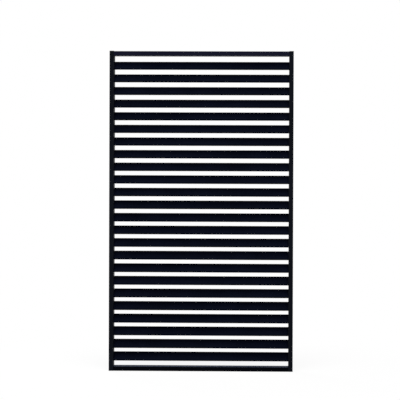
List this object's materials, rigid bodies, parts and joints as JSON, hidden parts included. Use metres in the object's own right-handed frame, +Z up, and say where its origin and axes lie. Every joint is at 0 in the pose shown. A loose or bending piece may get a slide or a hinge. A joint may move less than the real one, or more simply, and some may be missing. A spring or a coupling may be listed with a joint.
{
  "type": "louvred screen panel",
  "caption": "Tall black aluminium screen panel: a slim tube frame with fixed louvre blades at forty-five degrees.",
  "frame": {"origin": "outer face of the left stile, at ground level and halfway through the panel's depth", "axes": "+Z up, -Y towards the front of the panel, +X along the panel to the right stile"},
  "size_m": [1.035, 0.06, 1.8],
  "materials": {
    "frame_coat": "black satin powder coat",
    "blade_coat": "black satin powder coat",
    "cap_plastic": "matte moulded plastic"
  },
  "bodies": {
    "root": {"left_stile": "frame_coat", "right_stile": "frame_coat", "top_rail": "frame_coat", "bottom_rail": "frame_coat", "louvre_blade_01": "blade_coat", "louvre_blade_02": "blade_coat", "louvre_blade_03": "blade_coat", "louvre_blade_04": "blade_coat", "louvre_blade_05": "blade_coat", "louvre_blade_06": "blade_coat", "louvre_blade_07": "blade_coat", "louvre_blade_08": "blade_coat", "louvre_blade_09": "blade_coat", "louvre_blade_10": "blade_coat", "louvre_blade_11": "blade_coat", "louvre_blade_12": "blade_coat", "louvre_blade_13": "blade_coat", "louvre_blade_14": "blade_coat", "louvre_blade_15": "blade_coat", "louvre_blade_16": "blade_coat", "louvre_blade_17": "blade_coat", "louvre_blade_18": "blade_coat", "louvre_blade_19": "blade_coat", "louvre_blade_20": "blade_coat", "louvre_blade_21": "blade_coat", "louvre_blade_22": "blade_coat", "louvre_blade_23": "blade_coat", "louvre_blade_24": "blade_coat", "left_stile_cap": "cap_plastic", "right_stile_cap": "cap_plastic"}
  },
  "joints": []
}
